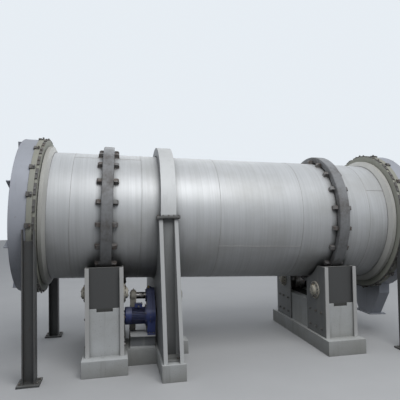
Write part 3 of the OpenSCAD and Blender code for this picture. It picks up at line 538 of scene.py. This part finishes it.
drum_middle, along = joint_line("drum_spin")
drum_slope = math.asin(-along.z)
bearing_flange_t = 0.016
bearing_boss_r = 0.064
bearing_bolt = 0.0095
bearing_bolt_count = 12
cover_radius = 0.048
cover_thickness = 0.004
cover_bolt = 0.005
cover_bolt_count = 4
cover_bolt_circle = 0.039
nipple_shift = 0.006
nipple_seat = bearing_boss_r - 0.002
for end in ("feed", "discharge"):
    low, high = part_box(end + "_roller_bearings")
    stand_low, stand_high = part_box(end + "_stand_front")
    flange_bolts = []
    cover_places = []
    cover_bolts = []
    nipples = []
    for hand in ("front", "back"):
        shaft = joint_line("%s_roller_%s_spin" % (end, hand))[0]
        flange_r = max(abs(low.y), high.y) - abs(shaft.y)
        circle_r = (flange_r + bearing_boss_r) / 2 + 0.004
        for side, cheek_x, end_x in ((-1, stand_low.x, low.x), (1, stand_high.x, high.x)):
            middle_x = (cheek_x + end_x) / 2
            level = shaft.z - (middle_x - shaft.x) * math.tan(drum_slope)
            outward = Vector((side, 0, 0))
            flange_x = cheek_x + side * bearing_flange_t
            for i in range(bearing_bolt_count):
                turn = (i + 0.5) * 2 * math.pi / bearing_bolt_count
                flange_bolts.append(((flange_x, shaft.y + circle_r * math.cos(turn),
                                      level + circle_r * math.sin(turn)), outward))
            cover_places.append(((end_x, shaft.y, level), outward))
            for i in range(cover_bolt_count):
                turn = (i + 0.5) * 2 * math.pi / cover_bolt_count
                cover_bolts.append(((end_x + side * cover_thickness,
                                     shaft.y + cover_bolt_circle * math.cos(turn),
                                     level + cover_bolt_circle * math.sin(turn)), outward))
            nipples.append(((middle_x + side * nipple_shift, shaft.y, level + nipple_seat),
                            (0, 0, 1)))
    bolts(end + "_bearing_bolts", bearing_bolt, flange_bolts)
    repeated(end + "_shaft_covers", disc(cover_radius, cover_thickness, 28, 0.001),
             cover_places, bearing_iron)
    bolts(end + "_cover_bolts", cover_bolt, cover_bolts)
    repeated(end + "_grease_nipples", grease_nipple(), nipples, brass)

roller_steel = Finish("roller_steel", (0.42, 0.41, 0.4), metallic=0.8)
roller_lines = roller_steel.noise(90, 3, 0.5, (1, 0.05, 0.05))
roller_stain = roller_steel.noise(9, 5, 0.65).rise(0.45, 0.7)
roller_steel.over(roller_stain, (0.12, 0.09, 0.07))
roller_steel.set("Roughness", 0.32 + roller_lines * 0.15 + roller_stain * 0.35)
roller_steel.bump(roller_lines, 0.15, 0.0006)
coat(roller_steel, "feed_roller_front", "feed_roller_back", "discharge_roller_front",
     "discharge_roller_back")

# Drum shell
# Rolled plate, welded up in courses with staggered long seams. Its satin face has fine rings from
# rolling and cleaning, faint clouds of scale and dust, and thin run marks round the drum. A wider
# seal ring is welded on at each end, and refractory lines it inside.
across = Vector((0, 1, 0))
upward = along.cross(across).normalized()


def drum_point(s, y, z):
    """Point at s along the drum line, y across it and z square to it."""
    return drum_middle + along * s + across * y + upward * z


def drum_turn(angle):
    """Direction out from the drum line, at an angle from the far side over the top."""
    return across * math.cos(angle) + upward * math.sin(angle)


def radius_of(node):
    """Outside radius of a round node, from its width across the drum."""
    low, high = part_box(node)
    return (high.y - low.y) / 2


def middle_of(node):
    """Where a node's middle lies along the drum line."""
    low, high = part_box(node)
    return ((low + high) / 2 - drum_middle).dot(along)


def ends_of(node):
    """Where a round node starts and ends along the drum line."""
    low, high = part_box(node)
    leaning = 2 * radius_of(node) * math.sin(drum_slope)
    half = (high.x - low.x - leaning) / math.cos(drum_slope) / 2
    return middle_of(node) - half, middle_of(node) + half


def bent_ring(radius, bar_radius, sides, bar_sides=6):
    """Round bar bent to a ring on the XY plane."""
    deselect()
    bpy.ops.mesh.primitive_circle_add(vertices=bar_sides, radius=bar_radius,
                                      location=(radius, 0, 0),
                                      rotation=(math.pi / 2, math.pi / 2, 0))
    settle()
    bpy.ops.object.mode_set(mode="EDIT")
    bpy.ops.mesh.select_all(action="SELECT")
    bpy.ops.mesh.spin(steps=sides, angle=2 * math.pi, center=(0, 0, 0), axis=(0, 0, 1))
    bpy.ops.mesh.select_all(action="SELECT")
    bpy.ops.mesh.remove_doubles(threshold=0.0001)
    bpy.ops.mesh.normals_make_consistent(inside=False)
    bpy.ops.object.mode_set(mode="OBJECT")
    return bpy.context.object


def weld_ring(s, radius, bead_radius):
    """Bead round the drum line."""
    bead = bent_ring(radius, bead_radius, 96)
    bead.data.transform(standing(drum_point(s, 0, 0), along))
    return bead


shell_steel = Finish("shell_steel", (0.60, 0.61, 0.62), metallic=0.3)
shell_rings = shell_steel.noise(7, 4, 0.6, (6, 0.12, 0.12))
shell_fine = shell_steel.noise(40, 3, 0.6, (8, 0.1, 0.1))
shell_cloud = shell_steel.noise(1.6, 5, 0.6)
shell_spots = shell_steel.noise(22, 4, 0.7)
shell_steel.over(shell_rings.rise(0.3, 0.7), (0.53, 0.54, 0.545))
shell_steel.over(shell_cloud.rise(0.42, 0.72) * 0.5, (0.43, 0.43, 0.415))
shell_steel.over(shell_spots.rise(0.66, 0.8) * 0.3, (0.34, 0.30, 0.26))
# Painted shade: the steel is darkened near and under other pieces.
shell_steel.over(shell_steel.shade_in_recesses(0.5) * 0.9, (0.07, 0.07, 0.066))
shell_steel.set("Roughness", 0.36 + shell_rings * 0.05 + shell_cloud * 0.16)
shell_steel.bump(shell_rings * 0.5 + shell_fine * 0.25 + shell_cloud * 2.0, 0.1, 0.002)
coat(shell_steel, "drum_shell")

shell_weld = Finish("shell_weld", (0.5, 0.5, 0.5), metallic=0.5, roughness=0.45)
shell_weld_grain = shell_weld.noise(80, 3, 0.6)
shell_weld.over(shell_weld_grain, (0.36, 0.34, 0.32))
shell_weld.bump(shell_weld_grain, 0.5, 0.001)
shell_radius = radius_of("drum_shell")
shell_bead = 0.0028
course_joints = [-1.86, -1.06, -0.12, 0.94, 1.86]
course_ends = [ends_of("drum_shell")[0], *course_joints, ends_of("drum_shell")[1]]
course_turns = [62, 118, 74, 205, 96, 150]
shell_seams = [weld_ring(s, shell_radius, shell_bead) for s in course_joints]
for start, end, turn in zip(course_ends, course_ends[1:], course_turns):
    out = drum_turn(math.radians(turn)) * shell_radius
    shell_seams.append(weld_bead(drum_point(start, 0, 0) + out, drum_point(end, 0, 0) + out,
                                 shell_bead))
finished(joined("shell_seams", shell_seams), shell_weld, "drum")

ring_paint = weathered_paint("ring_paint", (0.60, 0.60, 0.57), (0.4, 0.39, 0.35), rust_brown,
                             gloss=0.45, rust_share=0.5, streak=0.5, recess_shade=0.5)
coat(ring_paint, "feed_seal_ring", "discharge_seal_ring")
ring_fillet = 0.008
ring_bead = 0.005
ring_seams = [weld_ring(s, shell_radius + ring_fillet, ring_bead)
              for s in (ends_of("feed_seal_ring")[1], ends_of("discharge_seal_ring")[0])]
finished(joined("ring_seams", ring_seams), shell_weld, "drum")

lining_stone = Finish("lining_stone", (0.52, 0.42, 0.32), roughness=0.95)
lining_cloud = lining_stone.noise(5, 6, 0.65)
lining_stone.over(lining_cloud.rise(0.35, 0.7), (0.2, 0.16, 0.13))
lining_stone.bump(lining_cloud, 0.7, 0.008)
coat(lining_stone, "drum_lining")

# Tyres and keeper pads
# Forged rings, dull and dark under a film of rust. They lie loose on pads on the shell, between
# keeper blocks that are welded to the pads at both sides, and rust has run over them all.
tyre_steel = Finish("tyre_steel", (0.32, 0.33, 0.345))
tyre_cloud = tyre_steel.noise(4, 6, 0.65)
tyre_fine = tyre_steel.noise(28, 5, 0.65)
tyre_rust = (tyre_cloud * 0.7 + tyre_fine * 0.3).rise(0.42, 0.72)
tyre_steel.over(tyre_cloud, (0.17, 0.17, 0.17))
tyre_steel.over(tyre_rust * 0.7, (0.075, 0.055, 0.042))
# Painted shade: the tyre is darkened near and under other pieces.
tyre_steel.over(tyre_steel.shade_in_recesses(0.35) * 0.9, (0.02, 0.018, 0.016))
tyre_steel.set("Roughness", 0.42 + tyre_rust * 0.35)
tyre_steel.bump(tyre_fine, 0.3, 0.0015)
coat(tyre_steel, "feed_tyre", "discharge_tyre")

plate_steel = Finish("plate_steel", (0.24, 0.24, 0.24), metallic=0.3, roughness=0.6)
plate_cloud = plate_steel.noise(14, 5, 0.65)
plate_steel.over(plate_cloud.rise(0.35, 0.65), (0.13, 0.105, 0.09))
plate_steel.bump(plate_cloud, 0.3, 0.002)
coat(plate_steel, "feed_tyre_pads", "discharge_tyre_pads")

weld_steel = Finish("weld_steel", (0.3, 0.3, 0.295), metallic=0.4, roughness=0.55)
weld_ripple = weld_steel.noise(70, 3, 0.6)
weld_steel.over(weld_ripple, (0.17, 0.14, 0.12))
weld_steel.bump(weld_ripple, 0.6, 0.002)
pad_count = 20
pad_turn = math.radians(7)
pad_half_width = 0.022
keeper_length = 0.058
keeper_bead = 0.004


def keeper_welds():
    """Beads round three sides of a keeper block, which lies along X from its outer end."""
    corners = [(keeper_length, -pad_half_width, 0), (0, -pad_half_width, 0),
               (0, pad_half_width, 0), (keeper_length, pad_half_width, 0)]
    return joined("keeper_welds", [weld_bead(start, end, keeper_bead)
                                   for start, end in zip(corners, corners[1:])])


for end in ("feed", "discharge"):
    pad_ends = ends_of(end + "_tyre_pads")
    pattern = keeper_welds()
    welds = []
    for i in range(pad_count):
        out = drum_turn(math.pi / 2 + pad_turn + i * 2 * math.pi / pad_count)
        for s, inward in ((pad_ends[0], along), (pad_ends[1], -along)):
            turn = Matrix((inward, out.cross(inward), out)).transposed().to_4x4()
            foot = drum_point(s, 0, 0) + out * (shell_radius + 0.001)
            welds.append(placed_copy(pattern, Matrix.Translation(foot) @ turn))
    bpy.data.objects.remove(pattern)
    finished(joined(end + "_pad_welds", welds), weld_steel, "drum")

# Girth gear and pinion
# Cast steel teeth, black with open-gear grease and bright on the flanks that run together. The
# girth gear lies on a seat ring on the shell, and the pinion is one piece with its shaft.
gear_steel = Finish("gear_steel", (0.25, 0.24, 0.23), metallic=0.8)
gear_cloud = gear_steel.noise(18, 5, 0.6)
gear_steel.over(gear_cloud.rise(0.4, 0.65), (0.04, 0.035, 0.03))
gear_steel.set("Roughness", 0.25 + gear_cloud * 0.3)
coat(gear_steel, "girth_gear", "pinion")
coat(plate_steel, "gear_seat")

# Gear guard
# Sheet steel cover in pale paint over the gear, split at axis height and bolted through flanges
# to a casing that widens to its footing: pale strips at its edges, a darker face between them.
# The pale strips are a painted highlight, and the side faces of cover and casing get painted
# shade.
guard_paint = weathered_paint("guard_paint", (0.82, 0.84, 0.845), (0.44, 0.445, 0.44),
                              (0.33, 0.25, 0.18), gloss=0.45, rust_share=0.25, streak=0.7,
                              recess_shade=0.4)
casing_low, casing_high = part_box("guard_casing")
split_z = casing_high.z
split_half_t = 0.012
split_side = 0.024
split_front = 0.034
strip_width = 0.044
guard_middle_x = (casing_low.x + casing_high.x) / 2
guard_half_width = (casing_high.x - casing_low.x) / 2 - split_side
flange_grey = (0.10, 0.10, 0.095)
# Painted shade on the cover's side faces.
guard_side_shade = abs(guard_paint.facing().part("X")).rise(0.6, 0.9)
guard_paint.over(guard_side_shade * 0.65, (0.10, 0.105, 0.12))
over_split = guard_paint.place().part("Z").rise(split_z + split_half_t / 2,
                                                split_z + split_half_t * 3)
guard_paint.over((1 - over_split) * 0.85, flange_grey)
coat(guard_paint, "guard_cover")

casing_paint = weathered_paint("casing_paint", (0.38, 0.39, 0.39), (0.26, 0.26, 0.24),
                               rust_brown, gloss=0.5, rust_share=0.4, streak=1.0, recess_shade=0.9)
from_middle_x = abs(casing_paint.place().part("X") - guard_middle_x)
in_strip = 1 - (guard_half_width - strip_width - from_middle_x).rise(-0.002, 0.0)
# Painted highlight on the front faces of the edge strips.
strip_highlight = in_strip * abs(casing_paint.facing().part("Y")).rise(0.7, 0.9)
casing_paint.over(strip_highlight * 0.8, (0.66, 0.67, 0.67))
# Painted shade on the casing's side faces.
casing_side_shade = abs(casing_paint.facing().part("X")).rise(0.6, 0.9)
casing_paint.over(casing_side_shade * 0.6, (0.17, 0.175, 0.18))
under_split = split_z - split_half_t
casing_flange = casing_paint.place().part("Z").rise(under_split - 0.004, under_split)
casing_paint.over(casing_flange * 0.85, flange_grey)
coat(casing_paint, "guard_casing")

split_bolt = 0.009
split_bolts_across = 5
split_bolt_back = 0.065
split_half_x = guard_half_width + split_side / 2
split_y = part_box("guard_cover")[1].y - split_front / 2
split_spots = []
for way in (-1, 1):
    for step in range(split_bolts_across):
        share = 2 * step / (split_bolts_across - 1) - 1
        split_spots.append((guard_middle_x + split_half_x * share, way * split_y))
    for side in (-1, 1):
        split_spots.append((guard_middle_x + side * split_half_x,
                            way * (split_y - split_bolt_back)))
bolts("split_bolts", split_bolt,
      [((x, y, split_z + split_half_t), (0, 0, 1)) for x, y in split_spots])
bolts("split_nuts", split_bolt,
      [((x, y, split_z - split_half_t), (0, 0, -1)) for x, y in split_spots])

foot_plate = Vector((0.19, 0.11, 0.012))
foot_plate_y = casing_high.y - 0.13
foot_bolt_x = 0.065
foot_plates = []
foot_places = []
for way in (-1, 1):
    deselect()
    bpy.ops.mesh.primitive_cube_add(size=1, location=(guard_middle_x, way * foot_plate_y,
                                                      casing_low.z + foot_plate.z / 2))
    bpy.context.object.scale = foot_plate
    settle()
    bpy.ops.object.mode_set(mode="EDIT")
    bpy.ops.mesh.select_all(action="SELECT")
    bpy.ops.mesh.bevel(offset=0.002, segments=2, affect="EDGES")
    bpy.ops.object.mode_set(mode="OBJECT")
    foot_plates.append(bpy.context.object)
    foot_places += [((guard_middle_x + x, way * foot_plate_y, casing_low.z + foot_plate.z),
                     (0, 0, 1)) for x in (-foot_bolt_x, foot_bolt_x)]
finished(joined("casing_foot_plates", foot_plates), casing_paint, "root")
bolts("casing_anchors", 0.013, foot_places)

# Drive
# Dark blue enamel on the motor and reducer, dusty on top, on a grey steel base: fan grille,
# terminal box screws and gland, lifting eye, and the reducer's bolts, breather and oil gauge.
drive_paint = weathered_paint("drive_paint", (0.035, 0.055, 0.2), (0.2, 0.21, 0.25),
                              (0.1, 0.06, 0.04), gloss=0.35, rust_share=0.3, streak=0.6,
                              recess_shade=0.7)
coat(drive_paint, "gear_reducer", "motor", "motor_cowl", "motor_terminal_box")
base_paint = weathered_paint("base_paint", (0.26, 0.27, 0.28), (0.62, 0.63, 0.62), rust_brown,
                             gloss=0.5, rust_share=0.5, streak=0.6, recess_shade=0.5)
base_light = (0.66, 0.67, 0.67)
base_front = base_paint.place().part("Y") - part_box("drive_base")[0].y
base_paint.over((1 - base_front.rise(0.001, 0.004)) * 0.8, base_light)
base_paint.over(base_paint.facing().part("Z").rise(0.5, 0.9) * 0.6, base_light)
coat(base_paint, "drive_base")

cowl_low, cowl_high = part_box("motor_cowl")
cowl_radius = radius_of("motor_cowl")
motor_axis = (cowl_low + cowl_high) / 2 - drum_middle
motor_y = motor_axis.dot(across)
motor_z = motor_axis.dot(upward)


def drive_point(s, y, z):
    """Point at s along the drum line, y across and z square to the motor's axis."""
    return drum_point(s, motor_y + y, motor_z + z)


def drive_circle(s, y, z, radius, turns):
    """Places round an axis at y and z, with their bolts' heads towards the motor's fan."""
    return [(drive_point(s, y + radius * math.cos(turn), z + radius * math.sin(turn)), -along)
            for turn in turns]


grille_wire = 0.0016
grille_rings = (0.010, 0.021, 0.032, 0.042)
grille_radius = 0.046
grille_bars = 4
grille_inset = 0.0015
grille_middle = drive_point(ends_of("motor_cowl")[0] + grille_inset, 0, 0)
grille = []
for radius in grille_rings:
    wire = bent_ring(radius, grille_wire, 32)
    wire.data.transform(standing(grille_middle, along))
    grille.append(wire)
for i in range(grille_bars):
    reach = drum_turn(i * math.pi / grille_bars) * grille_radius
    grille.append(weld_bead(grille_middle - reach, grille_middle + reach, grille_wire))
finished(joined("fan_grille", grille), drive_paint, "root")

box_s = middle_of("motor_terminal_box")
box_side = 0.042
fin_radius = cowl_radius - 0.004
lid_top = fin_radius + 0.044
lid_screw = 0.0045
lid_screw_s = 0.040
lid_screw_y = 0.037
bolts("lid_screws", lid_screw,
      [(drive_point(box_s + s, y, lid_top), upward) for s in (-lid_screw_s, lid_screw_s)
       for y in (-lid_screw_y, lid_screw_y)])
gland_level = fin_radius + 0.018
gland = joined("gland", [disc(0.0125, 0.012, 6), disc(0.010, 0.024, 20, 0.003)])
repeated("cable_gland", gland, [(drive_point(box_s, -box_side, gland_level), -across)],
         bolt_steel)

reducer_face = ends_of("motor")[1]
motor_flange_t = 0.016
lifting_radius = 0.014
lifting_bar = 0.004
lifting_level = cowl_radius + 0.016
collar_radius = 0.010
collar_level = cowl_radius - 0.005
lifting_s = reducer_face - motor_flange_t - collar_radius
lifting_ring = bent_ring(lifting_radius, lifting_bar, 24, 8)
lifting_ring.data.transform(standing(drive_point(lifting_s, 0, lifting_level), along))
collar = disc(collar_radius, 0.006, 20, 0.0015)
collar.data.transform(standing(drive_point(lifting_s, 0, collar_level), upward))
finished(joined("lifting_eye", [lifting_ring, collar]), bolt_steel, "root")

pinion_axis = joint_line("pinion_spin")[0] - drum_middle
pinion_y = pinion_axis.dot(across) - motor_y
pinion_z = pinion_axis.dot(upward) - motor_z
lean = math.atan2(pinion_z, pinion_y)
seam_face = reducer_face + 0.037
seam_bolt = 0.0055
low_seam_radius = 0.1285
low_seam_turns = [lean + 1.9 + 2.48 * i / 7 for i in range(8)]
high_seam_radius = 0.1025
high_seam_turns = [lean - 1.1 + 2.2 * i / 4 for i in range(5)]
bolts("reducer_seam_bolts", seam_bolt,
      drive_circle(seam_face, 0, 0, low_seam_radius, low_seam_turns)
      + drive_circle(seam_face, pinion_y, pinion_z, high_seam_radius, high_seam_turns))
reducer_bolt = 0.006
cover_circle = 0.066
cover_face = reducer_face - 0.010
cover_turns = [0.3 + i * math.pi / 3 for i in range(6)]
bolts("reducer_cover_bolts", reducer_bolt,
      drive_circle(cover_face, pinion_y, pinion_z, cover_circle, cover_turns))
flange_circle = 0.1145
flange_turns = [math.pi / 8 + i * math.pi / 4 for i in range(8)]
bolts("motor_flange_bolts", reducer_bolt,
      drive_circle(reducer_face - motor_flange_t, 0, 0, flange_circle, flange_turns))
base_top = -0.202
foot_thickness = 0.018
foot_bolt = 0.008
foot_bolt_y = -0.132
bolts("reducer_foot_bolts", foot_bolt,
      [(drive_point(reducer_face + s, foot_bolt_y, base_top + foot_thickness), upward)
       for s in (0.022, 0.072)])
gauge_y = 0.055
gauge_level = base_top + 0.05
gauge = joined("gauge", [disc(0.016, 0.005, 28, 0.0015), disc(0.009, 0.0065, 24, 0.001)])
repeated("oil_gauge", gauge, [(drive_point(reducer_face, gauge_y, gauge_level), -along)],
         brass)
breather = joined("breather", [disc(0.010, 0.014, 6), disc(0.013, 0.026, 20, 0.004)])
repeated("reducer_breather", breather,
         [(drive_point(reducer_face + 0.02, pinion_y - 0.02, pinion_z + 0.096), upward)],
         brass)

pillow_top = 0.070
repeated("pillow_nipples", grease_nipple(),
         [(drive_point(middle_of(block), pinion_y, pinion_z + pillow_top), upward)
          for block in ("pinion_bearing_outer", "pinion_bearing_inner")],
         brass)

# Hoods
# Pale blue-grey painted plate. The seal housings are green-grey, with dark iron clamps, a bolt on
# each, and spring leaves along their front edge, each held by a screw. Two steel posts carry each
# hood, on foot plates that are bolted down.
hood_paint = weathered_paint("hood_paint", (0.52, 0.545, 0.61), (0.25, 0.26, 0.28), rust_brown,
                             gloss=0.45, rust_share=0.35, streak=0.5, recess_shade=0.35)
coat(hood_paint, "feed_hood", "discharge_hood", "feed_inlet", "burner_port", "discharge_chute")
seal_paint = weathered_paint("seal_paint", (0.40, 0.405, 0.35), (0.3, 0.29, 0.24), rust_brown,
                             gloss=0.55, rust_share=0.6, streak=1.0, recess_shade=0.6)
coat(seal_paint, "feed_seal_housing", "discharge_seal_housing")
clamp_iron = weathered_paint("clamp_iron", (0.15, 0.145, 0.14), (0.2, 0.19, 0.17), rust_brown,
                             gloss=0.6, rust_share=0.8, streak=0.5, recess_shade=0.5)
coat(clamp_iron, "feed_seal_clamps", "discharge_seal_clamps")
# Part of the posts' very dark paint is painted shade, for the deep shade they stand in.
post_paint = weathered_paint("post_paint", (0.13, 0.132, 0.132), (0.17, 0.17, 0.16), rust_brown,
                             gloss=0.5, rust_share=0.6, streak=1.0, recess_shade=0.9)
coat(post_paint, "feed_hood_posts", "discharge_hood_posts")

housing_radius = radius_of("feed_seal_housing")
hood_radius = radius_of("feed_hood")
hood_depth = 0.179
clamp_angles = [7 + 20 * i for i in range(18) if i not in (10, 16, 17)]
clamp_setback = 0.042
clamp_thickness = 0.016
clamp_bolt = 0.010
leaf_count = 32
leaf_depth = 0.030
leaf_screw = 0.010
foot_top = 0.020
anchor_bolt = 0.013
anchor_edge = 0.025
anchor_half_y = 0.06
hood_bead = 0.005
rim_bead = 0.004
post_half_width = 0.065
post_half_depth = 0.075
post_web_side = 0.004
post_web_half = 0.060
post_bead = 0.005
for end, side in (("feed", -1), ("discharge", 1)):
    spread = ends_of(end + "_seal_housing")
    front, back = (spread[1], spread[0]) if side < 0 else spread
    clamp_turns = [drum_turn(math.radians(angle)) for angle in clamp_angles]
    bolts(end + "_clamp_bolts", clamp_bolt,
          [(drum_point(back - side * clamp_setback, 0, 0)
            + out * (housing_radius + clamp_thickness), out) for out in clamp_turns])
    leaf_turns = [drum_turn(2 * math.pi * (i + 0.5) / leaf_count) for i in range(leaf_count)]
    bolts(end + "_leaf_screws", leaf_screw,
          [(drum_point(front + side * leaf_depth / 2, 0, 0) + out * housing_radius, out)
           for out in leaf_turns])
    hood_seams = [weld_ring(back + side * 0.002, hood_radius, hood_bead),
                  weld_ring(back + side * hood_depth, hood_radius - 0.001, rim_bead)]
    finished(joined(end + "_hood_welds", hood_seams), hood_paint, "root")

    low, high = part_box(end + "_hood_posts")
    post_x = (low.x + high.x) / 2
    foot_half = (high.x - low.x) / 2
    post_y = high.y - foot_half
    anchor_x = foot_half - anchor_edge
    bolts(end + "_post_anchors", anchor_bolt,
          [((post_x + x, way * post_y + y, foot_top), (0, 0, 1)) for way in (-1, 1)
           for x in (-anchor_x, anchor_x) for y in (-anchor_half_y, anchor_half_y)])
    post_welds = []
    for way in (-1, 1):
        y = way * post_y
        z = foot_top + 0.001
        for x in (post_x - post_half_width, post_x + post_half_width):
            post_welds.append(weld_bead((x, y - post_half_depth, z),
                                        (x, y + post_half_depth, z), post_bead))
        post_welds.append(weld_bead((post_x - post_web_half, y - post_web_side, z),
                                    (post_x + post_web_half, y - post_web_side, z), post_bead))
    finished(joined(end + "_post_welds", post_welds), post_paint, "root")
